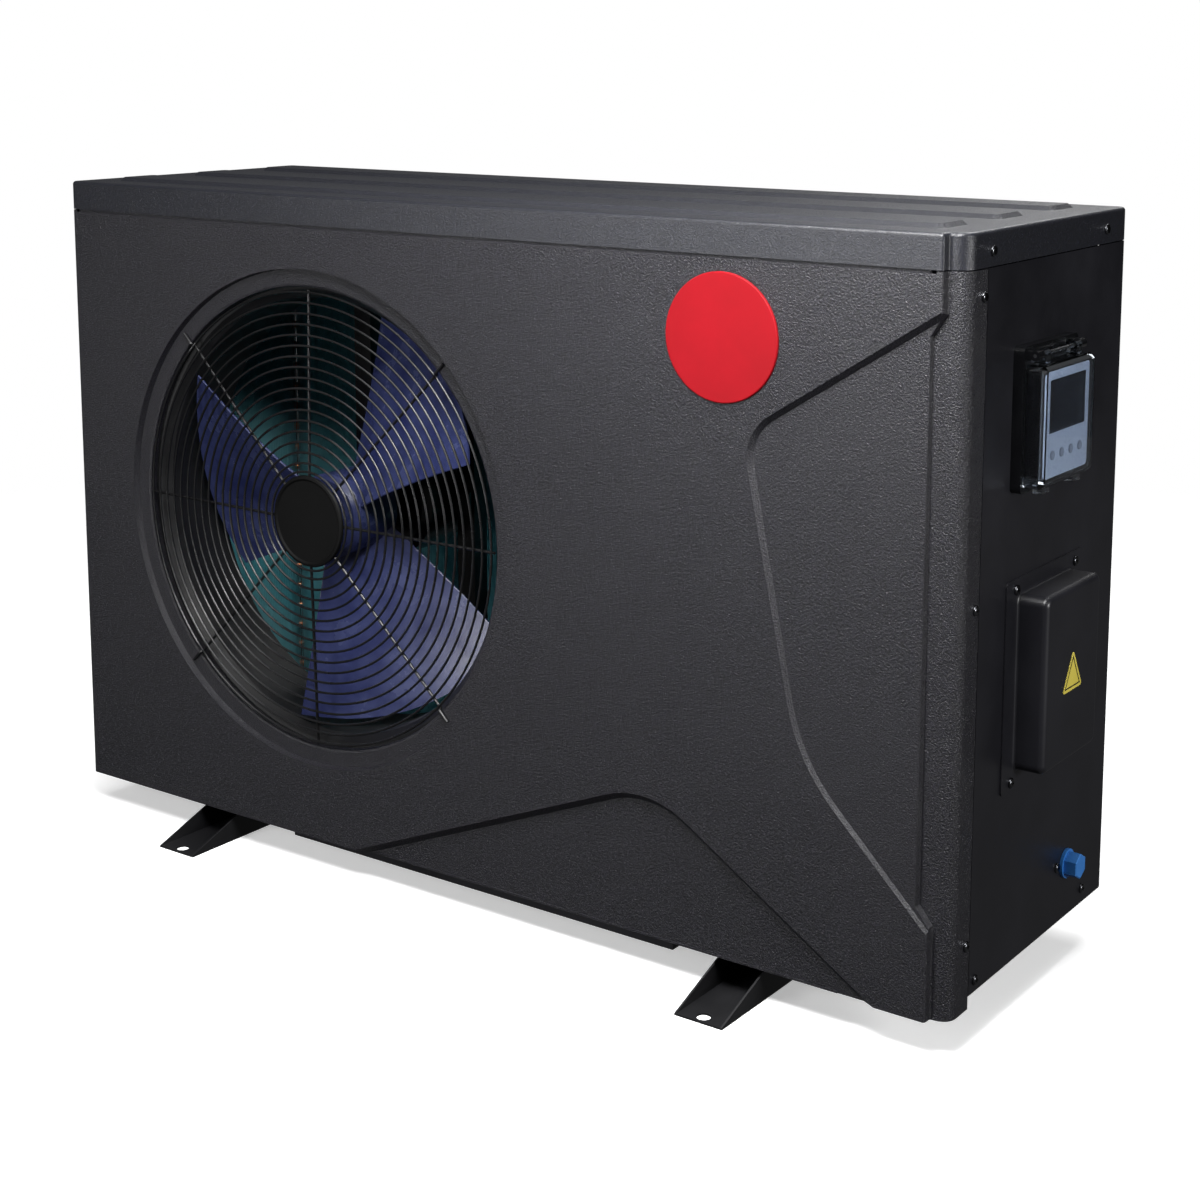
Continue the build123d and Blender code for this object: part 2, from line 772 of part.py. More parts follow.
# ---- water heat exchanger: a tall shell with its two water pipes and the drain fitting ------------------
exchanger_place = (water_x, 66.0)
exchanger_radius = 70.0
exchanger_low = pan_floor + 20.0
exchanger_height = 430.0
pipe_outer = 30.0
pipe_inner = 23.0
socket_radius = 25.1
gas_port_z = 430.0
drain_y = front + drain_plug_centre[0]
drain_z = floor + drain_plug_centre[1]

with BuildPart() as heat_exchanger:
    with Locations((*exchanger_place, exchanger_low)):
        Cylinder(exchanger_radius, exchanger_height, align=(Align.CENTER, Align.CENTER, Align.MIN))
    fillet(heat_exchanger.edges().filter_by(GeomType.CIRCLE), radius=14)
    with Locations((*exchanger_place, pan_floor)):
        Cylinder(52, 22, align=(Align.CENTER, Align.CENTER, Align.MIN))
    with BuildSketch(Plane.XZ.offset(-exchanger_place[1])):
        with Locations((water_x, inlet_z), (water_x, outlet_z)):
            Circle(pipe_outer)
    extrude(amount=-(back - 8 - exchanger_place[1]))
    with BuildSketch(Plane.XZ.offset(-(exchanger_place[1] + exchanger_radius - 20))):
        with Locations((water_x, inlet_z), (water_x, outlet_z)):
            Circle(pipe_inner)
    extrude(amount=-60, mode=Mode.SUBTRACT)
    for port_y, port_z in ((valve_y, gas_port_z), (liquid_pipe_y, liquid_pipe_z)):
        with BuildSketch(Plane.YZ.offset(water_x)):
            with Locations((port_y, port_z)):
                Circle(9)
        extrude(amount=-exchanger_radius - 6)
    with BuildSketch(Plane.YZ.offset(water_x)):
        with Locations((drain_y, drain_z)):
            Circle(14)
    extrude(amount=exchanger_radius + 3)
finish_piece(heat_exchanger, "heat_exchanger")

for connection, height in (("inlet", inlet_z), ("outlet", outlet_z)):
    with BuildPart() as union_body:
        with BuildSketch(Plane.XZ.offset(-(back - 8))):
            with Locations((water_x, height)):
                Circle(pipe_outer)
                Circle(pipe_inner, mode=Mode.SUBTRACT)
        extrude(amount=-38)
        with BuildSketch(Plane.XZ.offset(-(back + 1))):
            with Locations((water_x, height)):
                Circle(pipe_outer + 6)
                Circle(pipe_inner, mode=Mode.SUBTRACT)
        extrude(amount=-4)
        with BuildSketch(Plane.XZ.offset(-(back + 12))):
            with Locations((water_x, height)):
                Circle(pipe_outer + 4)
                Circle(pipe_inner, mode=Mode.SUBTRACT)
        extrude(amount=-18)
    finish_piece(union_body, f"water_{connection}_body")

    with BuildPart() as union_tail:
        with BuildSketch(Plane.XZ.offset(-(back + 30.5))):
            with Locations((water_x, height)):
                Circle(pipe_outer + 4)
                Circle(socket_radius, mode=Mode.SUBTRACT)
        extrude(amount=-5)
        with BuildSketch(Plane.XZ.offset(-(back + 35.5))):
            with Locations((water_x, height)):
                Circle(pipe_outer)
                Circle(socket_radius, mode=Mode.SUBTRACT)
        extrude(amount=-21)
    finish_piece(union_tail, f"water_{connection}_tail")

    with BuildPart() as union_nut:
        with BuildSketch(Plane.XZ.offset(-(back + 8))):
            with Locations((water_x, height)):
                Circle(pipe_outer + 12)
                with PolarLocations(pipe_outer + 12.5, 8):
                    RectangleRounded(7, 15, 2)
                Circle(pipe_outer + 4.4, mode=Mode.SUBTRACT)
        extrude(amount=-32)
        with BuildSketch(Plane.XZ.offset(-(back + 36))):
            with Locations((water_x, height)):
                Circle(pipe_outer + 6)
                Circle(pipe_outer + 0.4, mode=Mode.SUBTRACT)
        extrude(amount=-4)
    finish_piece(union_nut, f"water_{connection}_nut")

# ---- refrigerant circuit: valves, drier, header and the copper pipes between them ---------------------
valve_x = left + 809.0
valve_z = 470.0
valve_radius = 13.0
port_gap = 28.0
pipe_radius = 6.0
pipe_wall = 1.0
pipe_bend = 14.0
stub_radius = 7.0
valve_bottom = valve_z - 20.0
valve_top = valve_z + 20.0
header_x = partition_x - 14.0
header_y = coil_rear_y - fin_depth / 2 - 16.0
header_radius = 9.0
drier_x = left + 854.0
drier_length = 80.0
expansion_x = left + 771.5
expansion_length = 35.0

with BuildPart() as reversing_valve:
    with Locations((valve_x, valve_y, valve_z)):
        Cylinder(valve_radius, 104, rotation=(0, 90, 0))
    fillet(reversing_valve.edges().filter_by(GeomType.CIRCLE), radius=5)
    with BuildSketch(Plane.XY.offset(valve_bottom)):
        with Locations((valve_x - port_gap, valve_y), (valve_x, valve_y), (valve_x + port_gap, valve_y)):
            Circle(stub_radius)
    extrude(amount=valve_z - valve_bottom)
    with BuildSketch(Plane.XY.offset(valve_z)):
        with Locations((valve_x, valve_y)):
            Circle(stub_radius)
    extrude(amount=valve_top - valve_z)
    with Locations((valve_x + 30, valve_y - 26, valve_z)):
        Cylinder(10, 34, rotation=(0, 90, 0))
        Box(14, 26, 10, align=(Align.CENTER, Align.MIN, Align.CENTER))
finish_piece(reversing_valve, "reversing_valve")

with BuildPart() as coil_header:
    with Locations((header_x, header_y, fin_low + 10)):
        Cylinder(header_radius, fin_height - 20, align=(Align.CENTER, Align.CENTER, Align.MIN))
    for height in (gas_pipe_z, liquid_pipe_z):
        with BuildSketch(Plane.XZ.offset(-header_y)):
            with Locations((header_x, height)):
                Circle(stub_radius)
        extrude(amount=header_radius + 5)
finish_piece(coil_header, "coil_header")

with BuildPart() as filter_drier:
    with Locations((drier_x, liquid_pipe_y, liquid_pipe_z)):
        Cylinder(14, drier_length, rotation=(0, 90, 0))
    fillet(filter_drier.edges().filter_by(GeomType.CIRCLE), radius=8)
finish_piece(filter_drier, "filter_drier")

with BuildPart() as expansion_valve:
    with Locations((expansion_x, liquid_pipe_y, liquid_pipe_z)):
        Cylinder(9, expansion_length, rotation=(0, 90, 0))
        Cylinder(8, 22, align=(Align.CENTER, Align.CENTER, Align.MIN))
    with Locations((expansion_x, liquid_pipe_y, liquid_pipe_z + 22)):
        Cylinder(15, 16, align=(Align.CENTER, Align.CENTER, Align.MIN))
finish_piece(expansion_valve, "expansion_valve")


def copper_pipe(points, bend_radius):
    """A bent copper pipe through the given points."""
    with BuildPart() as pipe:
        with BuildLine() as path:
            if len(points) > 2:
                FilletPolyline(*points, radius=bend_radius)
            else:
                Line(*points)
        with BuildSketch(Plane(origin=path.wire() @ 0, z_dir=path.wire() % 0)):
            Circle(pipe_radius)
            Circle(pipe_radius - pipe_wall, mode=Mode.SUBTRACT)
        sweep()
    return pipe


compressor_top = compressor_low + 3 + compressor_height
suction_level = valve_bottom - 62.0
exchanger_side = water_x - exchanger_radius - 6.0
pipe_runs = {
    "discharge": [
        (*compressor_place, compressor_top),
        (*compressor_place, valve_top + 22),
        (valve_x, valve_y, valve_top + 22),
        (valve_x, valve_y, valve_top),
    ],
    "suction": [
        (valve_x, valve_y, valve_bottom),
        (valve_x, valve_y, suction_level),
        (*accumulator_place, suction_level),
        (*accumulator_place, accumulator_low + accumulator_height),
    ],
    "gas to coil": [
        (valve_x - port_gap, valve_y, valve_bottom),
        (valve_x - port_gap, valve_y, gas_pipe_z),
        (header_x, valve_y, gas_pipe_z),
        (header_x, header_y - header_radius - 5, gas_pipe_z),
    ],
    "gas to heat exchanger": [
        (valve_x + port_gap, valve_y, valve_bottom),
        (valve_x + port_gap, valve_y, gas_port_z),
        (exchanger_side, valve_y, gas_port_z),
    ],
    "liquid to drier": [
        (exchanger_side, liquid_pipe_y, liquid_pipe_z),
        (drier_x + drier_length / 2, liquid_pipe_y, liquid_pipe_z),
    ],
    "liquid to expansion valve": [
        (drier_x - drier_length / 2, liquid_pipe_y, liquid_pipe_z),
        (expansion_x + expansion_length / 2, liquid_pipe_y, liquid_pipe_z),
    ],
    "liquid to coil": [
        (expansion_x - expansion_length / 2, liquid_pipe_y, liquid_pipe_z),
        (header_x, liquid_pipe_y, liquid_pipe_z),
        (header_x, header_y - header_radius - 5, liquid_pipe_z),
    ],
}

with BuildPart() as refrigerant_pipes:
    for points in pipe_runs.values():
        add(copper_pipe(points, pipe_bend).part)
finish_piece(refrigerant_pipes, "refrigerant_pipes")

# ---- electrical tray over the compressor side, with what is mounted on it --------------------------------
tray_low = floor + 527.0
tray_front = pan_front + 6.0
tray_back = back - 8.0
tray_right = right - 4.0
tray_left = partition_x + sheet + 1.0
board_place = (left + 800.0, 40.0)
board_low = tray_low + 12.0

with BuildPart() as electrical_tray:
    with BuildSketch(Plane.XY.offset(tray_low)):
        with Locations(((tray_left + tray_right) / 2, (tray_front + tray_back) / 2)):
            Rectangle(tray_right - tray_left, tray_back - tray_front)
    extrude(amount=24)
    offset(amount=-sheet, openings=electrical_tray.faces().sort_by(Axis.Z)[-1])
finish_piece(electrical_tray, "electrical_tray")

with BuildPart() as circuit_board:
    with Locations((*board_place, board_low)):
        Box(180, 130, 1.6, align=(Align.CENTER, Align.CENTER, Align.MIN))
        with GridLocations(160, 110, 2, 2):
            Cylinder(4, board_low - tray_low - sheet, align=(Align.CENTER, Align.CENTER, Align.MAX))
    with BuildSketch(Plane.XY.offset(board_low + 1.6)):
        with Locations((board_place[0] - 60, board_place[1] + 25)):
            Rectangle(46, 40)
        with Locations((board_place[0], board_place[1] + 40)):
            with GridLocations(22, 0, 3, 1):
                Rectangle(18, 24)
    extrude(amount=20)
    with BuildSketch(Plane.XY.offset(board_low + 1.6)):
        with Locations((board_place[0] + 55, board_place[1] - 30)):
            Circle(13)
        with Locations((board_place[0] - 10, board_place[1] - 45)):
            Rectangle(120, 12)
    extrude(amount=14)
finish_piece(circuit_board, "circuit_board")

with BuildPart() as contactor:
    with Locations((left + 965, 60, tray_low + sheet)):
        Box(58, 62, 56, align=(Align.CENTER, Align.CENTER, Align.MIN))
    chamfer(contactor.edges().filter_by(Axis.Z), length=3)
finish_piece(contactor, "contactor")

with BuildPart() as run_capacitor:
    with Locations((left + 1040, -70, tray_low + sheet)):
        Cylinder(24, 88, align=(Align.CENTER, Align.CENTER, Align.MIN))
    fillet(run_capacitor.edges().filter_by(GeomType.CIRCLE).sort_by(Axis.Z)[-1], radius=4)
finish_piece(run_capacitor, "run_capacitor")

terminal_depth = 40.0
with BuildPart() as terminal_block:
    with BuildSketch(side_plane.offset(-terminal_depth)):
        with Locations(wiring_opening):
            Rectangle(84, 128)
    extrude(amount=sheet)
    with BuildSketch(side_plane.offset(-terminal_depth)):
        with Locations(wiring_opening):
            with GridLocations(84 + sheet, 0, 2, 1):
                Rectangle(sheet, 150)
    extrude(amount=terminal_depth - sheet)
    with BuildSketch(side_plane.offset(-terminal_depth + sheet)):
        with Locations((wiring_opening[0], wiring_opening[1] + 20)):
            with GridLocations(0, 17, 1, 5):
                RectangleRounded(44, 15.5, 1.5)
    extrude(amount=22)
finish_piece(terminal_block, "terminal_block")

# ---- wiring cover: deep-drawn sheet cover with a flange, on the right side -------------------------------
cover_flange = (171.0, 199.0)
cover_centre = (186.5, 281.5)
cover_box = (121.0, 166.0)
cover_box_centre = (185.5, 283.0)
cover_height = 31.0

with BuildPart() as wiring_cover:
    with BuildSketch(side_plane):
        with Locations(cover_centre):
            RectangleRounded(*cover_flange, 5)
    extrude(amount=sheet)
    with BuildSketch(side_plane):
        with Locations(cover_box_centre):
            RectangleRounded(*cover_box, 9)
    extrude(amount=cover_height)
    fillet(wiring_cover.faces().sort_by(Axis.X)[-1].edges(), radius=6)
    root = wiring_cover.edges().filter_by(near(x=right + sheet)).filter_by(
        lambda edge: abs(edge.center().Y - front - cover_box_centre[0]) < cover_box[0] / 2 + 1
        and abs(edge.center().Z - floor - cover_box_centre[1]) < cover_box[1] / 2 + 1
    )
    fillet(root, radius=2.5)
    with BuildSketch(side_plane.offset(-1)):
        with Locations(cover_box_centre):
            RectangleRounded(cover_box[0] - 2 * sheet, cover_box[1] - 2 * sheet, 7.5)
    extrude(amount=cover_height - sheet - 4, mode=Mode.SUBTRACT)
finish_piece(wiring_cover, "wiring_cover")

sticker_side = 44.0
with BuildPart() as hazard_sticker:
    with BuildSketch(side_plane.offset(cover_height)):
        with Locations((184.5, 280.0)):
            RegularPolygon(sticker_side / 3**0.5, 3, rotation=90)
        fillet(vertices(), radius=2.5)
    extrude(amount=0.3)
finish_piece(hazard_sticker, "hazard_sticker")

# ---- controller: base, sprung keys, screen, clear flip-up cover on its pin -------------------------------
box_low = 462.0
box_high = 594.0
box_front = 103.0
box_rear = 221.0
box_middle = (box_front + box_rear) / 2
base_height = 10.0
cover_rise = 30.0
cover_wall = 2.0
module_size = (98.0, 98.0)
module_centre = (box_middle - 1.0, 523.5)
module_face = 25.5
hinge_height = 586.0
hinge_rise = 17.0
hinge_barrel = 4.6
pin_radius = 1.6
key_radius = 4.2
key_gap = 0.3
key_proud = 1.0
key_names = ("power", "mode", "up", "down")
key_pitch = 20.0
key_row = module_centre[1] - 28.0
hinge_y_range = (box_front + 7.0, box_rear - 7.0)
knuckle = 11.0


def side_box(centre, size, low, high, corner):
    """A rounded block standing on the side panel between two heights above it."""
    with BuildPart() as block:
        with BuildSketch(side_plane.offset(low)):
            with Locations(centre):
                RectangleRounded(*size, corner)
        extrude(amount=high - low)
    return block.part


base_size = (box_rear - box_front, box_high - box_low)
base_centre = (box_middle, (box_high + box_low) / 2)

with BuildPart() as controller_base:
    add(side_box(base_centre, base_size, 0, base_height, 6))
    add(side_box(module_centre, (module_size[0] - 6, module_size[1] - 6), 2, 20, 3), mode=Mode.SUBTRACT)
    for edge in (0, 1):
        knuckle_y = hinge_y_range[edge] + (knuckle / 2 if edge == 0 else -knuckle / 2)
        ear_size = (knuckle, 2 * hinge_barrel)
        add(side_box((knuckle_y, hinge_height), ear_size, base_height, hinge_rise, 1))
        with Locations((right + hinge_rise, front + knuckle_y, floor + hinge_height)):
            Cylinder(hinge_barrel, knuckle, rotation=(90, 0, 0))
    with Locations((right + hinge_rise, front + box_middle, floor + hinge_height)):
        Cylinder(pin_radius, base_size[0], rotation=(90, 0, 0), mode=Mode.SUBTRACT)
    with Locations((right, front + box_middle, floor + controller_centre[1])):
        Cylinder(cable_hole_radius, 12, rotation=(0, 90, 0), mode=Mode.SUBTRACT)
finish_piece(controller_base, "controller_base")

with BuildPart() as hinge_pin:
    with Locations((right + hinge_rise, front + box_middle, floor + hinge_height)):
        Cylinder(pin_radius, hinge_y_range[1] - hinge_y_range[0], rotation=(90, 0, 0))
finish_piece(hinge_pin, "hinge_pin")

with BuildPart() as controller_module:
    add(side_box(module_centre, (module_size[0] - 6.2, module_size[1] - 6.2), 2, base_height + 2, 3))
    add(side_box(module_centre, module_size, base_height + 0.2, module_face, 5))
    fillet(controller_module.faces().sort_by(Axis.X)[-1].edges(), radius=2)
    screen_centre = (module_centre[0] + 1, module_centre[1] + 16)
    add(side_box(screen_centre, (78, 48), module_face - 1.5, module_face + 1, 1), mode=Mode.SUBTRACT)
    for number in range(len(key_names)):
        key_y = module_centre[0] + (number - 1.5) * key_pitch
        with Locations((right + module_face, front + key_y, floor + key_row)):
            Cylinder(key_radius + key_gap, 16, rotation=(0, 90, 0), mode=Mode.SUBTRACT)
finish_piece(controller_module, "controller_module")

with BuildPart() as controller_screen:
    add(side_box(screen_centre, (77.8, 47.8), module_face - 1.5, module_face - 0.2, 1))
finish_piece(controller_screen, "controller_screen")

for number, key_name in enumerate(key_names):
    key_y = module_centre[0] + (number - 1.5) * key_pitch
    with BuildPart() as key:
        with BuildSketch(side_plane.offset(module_face - 6)):
            with Locations((key_y, key_row)):
                Circle(key_radius)
        extrude(amount=6 + key_proud)
        fillet(key.edges().sort_by(Axis.X)[-1], radius=0.6)
    finish_piece(key, f"key_{key_name}")

cover_low = 467.0
cover_high = 578.0
cover_size = (base_size[0] - 5, cover_high - cover_low)
cover_middle = (box_middle, (cover_high + cover_low) / 2)
lug_length = 12.0
lug_reach = base_size[0] / 2 - 7 - knuckle - 0.6 - lug_length / 2
with BuildPart() as controller_cover:
    add(side_box(cover_middle, cover_size, base_height + 0.5, cover_rise, 7))
    chamfer(controller_cover.faces().sort_by(Axis.X)[-1].edges(), length=5)
    inner_size = (cover_size[0] - 2 * cover_wall, cover_size[1] - 2 * cover_wall)
    add(side_box(cover_middle, inner_size, 0, cover_rise - 5.5, 5), mode=Mode.SUBTRACT)
    inner_face = (inner_size[0] - 7, inner_size[1] - 7)
    add(side_box(cover_middle, inner_face, 20, cover_rise - cover_wall, 3), mode=Mode.SUBTRACT)
    for lug_y in (box_middle - lug_reach, box_middle + lug_reach):
        lug_size = (lug_length, hinge_height - cover_high + 1)
        lug_centre = (lug_y, (hinge_height + cover_high - 1) / 2)
        add(side_box(lug_centre, lug_size, hinge_rise - hinge_barrel, hinge_rise + hinge_barrel, 0.5))
        with Locations((right + hinge_rise, front + lug_y, floor + hinge_height)):
            Cylinder(hinge_barrel, lug_length, rotation=(90, 0, 0))
    with Locations((right + hinge_rise, front + box_middle, floor + hinge_height)):
        Cylinder(pin_radius + 0.05, base_size[0], rotation=(90, 0, 0), mode=Mode.SUBTRACT)
    for latch_y in (box_middle - 34, box_middle + 34):
        add(side_box((latch_y, cover_low - 2), (16, 8), base_height + 4, cover_rise - 7, 1))
finish_piece(controller_cover, "controller_cover")

# ---- water drain: fitting behind the side panel and the blue plug that screws into it ---------------------
plug_radius = 8.0
plug_gap = 0.05
with BuildPart() as drain_fitting:
    with BuildSketch(Plane.YZ.offset(water_x + exchanger_radius + 3)):
        with Locations((drain_y, drain_z)):
            Circle(11)
            Circle(plug_radius + plug_gap, mode=Mode.SUBTRACT)
    extrude(amount=right - sheet - 0.5 - (water_x + exchanger_radius + 3))
finish_piece(drain_fitting, "drain_fitting")

with BuildPart() as drain_plug:
    with BuildSketch(side_plane.offset(0.3)):
        with Locations(drain_plug_centre):
            Circle(14.5)
    extrude(amount=3)
    with BuildSketch(side_plane.offset(3.3)):
        with Locations(drain_plug_centre):
            RegularPolygon(11, 6, major_radius=False, rotation=30)
    extrude(amount=13)
    chamfer(drain_plug.faces().sort_by(Axis.X)[-1].edges(), length=1)
    with BuildSketch(side_plane.offset(0.3)):
        with Locations(drain_plug_centre):
            Circle(plug_radius)
    extrude(amount=-22)
finish_piece(drain_plug, "drain_plug")

# ---- badge, cable gland and the groups of screws -----------------------------------------------------------
badge_centre = (878.0, 594.0)
badge_radius = 60.0
with BuildPart() as badge:
    with BuildSketch(front_plane):
        with Locations(badge_centre):
            Circle(badge_radius)
    extrude(amount=2.2)
    fillet(badge.faces().sort_by(Axis.Y)[0].edges(), radius=1.4)
finish_piece(badge, "badge")

gland_bore = 5.0
gland_thread = 8.0
gland_across_flats = 24.0
with BuildPart() as cable_gland:
    gland_plane = Plane(origin=(gland_place[0], back, gland_place[1]), x_dir=(1, 0, 0), z_dir=(0, 1, 0))
    with BuildSketch(gland_plane):
        RegularPolygon(gland_across_flats / 2, 6, major_radius=False)
    extrude(amount=6)
    with BuildSketch(gland_plane.offset(6)):
        Circle(11.5)
    extrude(amount=15)
    fillet(cable_gland.faces().sort_by(Axis.Y)[-1].edges(), radius=4)
    with BuildSketch(gland_plane):
        Circle(gland_thread)
    extrude(amount=-12)
    with BuildSketch(gland_plane.offset(-sheet - 5)):
        RegularPolygon(gland_across_flats / 2, 6, major_radius=False)
        Circle(gland_thread, mode=Mode.SUBTRACT)
    extrude(amount=5)
    with BuildSketch(gland_plane.offset(30)):
        Circle(gland_bore)
    extrude(amount=-60, mode=Mode.SUBTRACT)
finish_piece(cable_gland, "cable_gland")

head_radius = 5.0
head_height = 2.6


def screw_group(plane, places, surface):
    """Pan-head screws whose heads sit a little above a face and carry a cross recess."""
    with BuildPart() as group:
        with BuildSketch(plane.offset(surface)):
            with Locations(*places):
                Circle(head_radius)
        extrude(amount=head_height)
        outward = Axis(plane.origin, plane.z_dir)
        rims = group.edges().filter_by(GeomType.CIRCLE).sort_by(outward)[-len(places):]
        fillet(rims, radius=1.8)
        with BuildSketch(plane.offset(surface + head_height + 0.1)):
            with Locations(*places):
                Rectangle(5, 1.1)
                Rectangle(1.1, 5)
        extrude(amount=-1.4, mode=Mode.SUBTRACT)
    return group


wrap_screws = [(40.0, 644.0), (40.0, 370.0), (40.0, 62.0)]
lid_screws = [(55.0, 682.0), (303.0, 682.0)]
lower_screws = [(60.0, 23.0), (300.0, 27.0), (237.5, 69.0)]
cover_screws = [(121.0, 371.0), (252.0, 371.0), (121.0, 190.0), (252.0, 190.0)]
rear_rows = (side_bottom - floor + 20, cabinet_height / 2, side_top - floor - 20)
rear_columns = (partition_x + 10, right - rear_return - 11)
rear_screws = [(-column, row) for column in rear_columns for row in rear_rows]
left_screws = [(-depth, height) for depth, height in wrap_screws + lid_screws]
left_plane = Plane(origin=(left, front, floor), x_dir=(0, -1, 0), z_dir=(-1, 0, 0))

with BuildPart() as panel_screws:
    add(screw_group(side_plane, wrap_screws + lid_screws + lower_screws, 0).part)
    add(screw_group(side_plane, cover_screws, sheet).part)
    add(screw_group(left_plane, left_screws, 0).part)
    add(screw_group(rear_plane, rear_screws, 0).part)
finish_piece(panel_screws, "panel_screws")

os.makedirs("parts", exist_ok=True)
for piece in pieces:
    export_step(piece, f"parts/{piece.label}.step")
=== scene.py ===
import math

import bmesh
import bpy
from mathutils import Matrix, Vector


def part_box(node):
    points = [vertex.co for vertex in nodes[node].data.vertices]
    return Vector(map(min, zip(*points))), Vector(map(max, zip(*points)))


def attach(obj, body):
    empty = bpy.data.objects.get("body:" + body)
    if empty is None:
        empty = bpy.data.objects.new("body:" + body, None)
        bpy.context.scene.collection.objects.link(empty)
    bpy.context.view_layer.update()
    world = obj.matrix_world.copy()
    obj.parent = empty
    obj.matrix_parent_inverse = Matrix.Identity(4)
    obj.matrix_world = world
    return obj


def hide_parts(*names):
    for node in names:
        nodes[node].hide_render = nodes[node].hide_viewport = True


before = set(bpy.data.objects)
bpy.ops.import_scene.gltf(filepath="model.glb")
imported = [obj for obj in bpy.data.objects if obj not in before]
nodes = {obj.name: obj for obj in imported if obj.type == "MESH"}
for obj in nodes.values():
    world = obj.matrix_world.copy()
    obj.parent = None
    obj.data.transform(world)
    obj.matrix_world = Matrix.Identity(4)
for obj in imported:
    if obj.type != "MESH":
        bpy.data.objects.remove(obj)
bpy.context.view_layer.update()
scene = bpy.context.scene


# ---- front panel ----
# Moulded ABS panel that wraps round both front corners. The tool is etched with a fine
# leather grain, and the wall is pressed back in two large recesses and in the fan's dish.
def linear(hex_colour):
    """An sRGB hex colour as linear RGBA."""
    channels = [int(hex_colour[i:i + 2], 16) / 255 for i in (1, 3, 5)]
    return [c / 12.92 if c <= 0.04045 else ((c + 0.055) / 1.055) ** 2.4 for c in channels] + [1.0]


def add_node(material, kind, settings=None, links=None):
    """Adds one node, sets its sockets and properties, and links its inputs to (node, output) pairs."""
    node = material.node_tree.nodes.new(kind)
    for key, value in (settings or {}).items():
        if isinstance(key, str) and hasattr(node, key) and key not in node.inputs:
            setattr(node, key, value)
        else:
            node.inputs[key].default_value = value
    for key, (source, output) in (links or {}).items():
        material.node_tree.links.new(source.outputs[output], node.inputs[key])
    return node


def start_material(name, roughness, ior=1.45, metallic=0.0):
    """An empty material with its shader, and its object coordinates."""
    material = bpy.data.materials.new(name)
    material.use_nodes = True
    shader = material.node_tree.nodes["Principled BSDF"]
    shader.inputs["Roughness"].default_value = roughness
    shader.inputs["IOR"].default_value = ior
    shader.inputs["Metallic"].default_value = metallic
    place = add_node(material, "ShaderNodeTexCoord")
    return material, shader, place


def plug_in(material, source, output, shader, socket):
    """Links one node's output to a socket of the shader."""
    material.node_tree.links.new(source.outputs[output], shader.inputs[socket])


def colour_ramp(material, source, output, stops):
    """A colour ramp with (position, hex colour) stops, fed by a node's output."""
    ramp = add_node(material, "ShaderNodeValToRGB", None, {"Fac": (source, output)})
    elements = ramp.color_ramp.elements
    while len(elements) < len(stops):
        elements.new(0.5)
    for element, (position, hex_colour) in zip(elements, stops):
        element.position = position
        element.color = linear(hex_colour)
    return ramp


def range_of(material, source, output, low, high, from_low=0.0, from_high=1.0):
    """Maps a node's output from one range of numbers to another."""
    settings = {"From Min": from_low, "From Max": from_high, "To Min": low, "To Max": high}
    return add_node(material, "ShaderNodeMapRange", settings, {"Value": (source, output)})


def paint(node_names, material):
    """Gives a material to CAD pieces."""
    for node_name in node_names:
        slots = nodes[node_name].data.materials
        slots.clear()
        slots.append(material)


def leather_grained_abs(name, shaded_pit, land, rough, depth, grain_size=0.0015):
    """ABS moulded in a tool etched with leather grain: matt pits between small shiny lands, the pits coloured
    darker as painted shade.
    """
    grain = 1 / grain_size
    material, shader, place = start_material(name, rough, ior=1.52)
    cells = add_node(
        material, "ShaderNodeTexNoise",
        {"Scale": grain, "Detail": 3.0, "Roughness": 0.62, "Distortion": 0.5},
        {"Vector": (place, "Object")},
    )
    pores = add_node(
        material, "ShaderNodeTexVoronoi", {"Scale": grain * 0.8, "Randomness": 1.0},
        {"Vector": (place, "Object")},
    )
    blend = add_node(
        material, "ShaderNodeMath", {"operation": "MULTIPLY"},
        {0: (cells, "Fac"), 1: (pores, "Distance")},
    )
    # Painted shade: the low pits of the bump are coloured darker than the lands, from the same noise.
    ramp = colour_ramp(material, cells, "Fac", [(0.40, shaded_pit), (0.62, land)])
    plug_in(material, ramp, "Color", shader, "Base Color")
    gloss = range_of(material, cells, "Fac", rough + 0.1, rough - 0.1, 0.35, 0.65)
    plug_in(material, gloss, "Result", shader, "Roughness")
    height = add_node(
        material, "ShaderNodeMath", {"operation": "MULTIPLY_ADD", 1: 0.6}, {0: (blend, 0), 2: (cells, "Fac")},
    )
    bump = add_node(
        material, "ShaderNodeBump", {"Strength": 0.85, "Distance": depth}, {"Height": (height, 0)},
    )
    plug_in(material, bump, "Normal", shader, "Normal")
    return material


# The first colour is the painted shade in the grain's pits.
front_abs = leather_grained_abs("charcoal_leather_grained_abs", "#050507", "#24232a", 0.36, 0.0010)
paint(["front_panel"], front_abs)


# ---- lid ----
# The same ABS, moulded with a finer grain. Three shallow ribs stiffen its top, and its
# skirt hangs over the panels with a small shadow gap.
# The first colour is the painted shade in the finer grain's pits.
lid_abs = leather_grained_abs("lid_fine_grained_abs", "#0f1014", "#23242b", 0.36, 0.0004)
paint(["lid"], lid_abs)


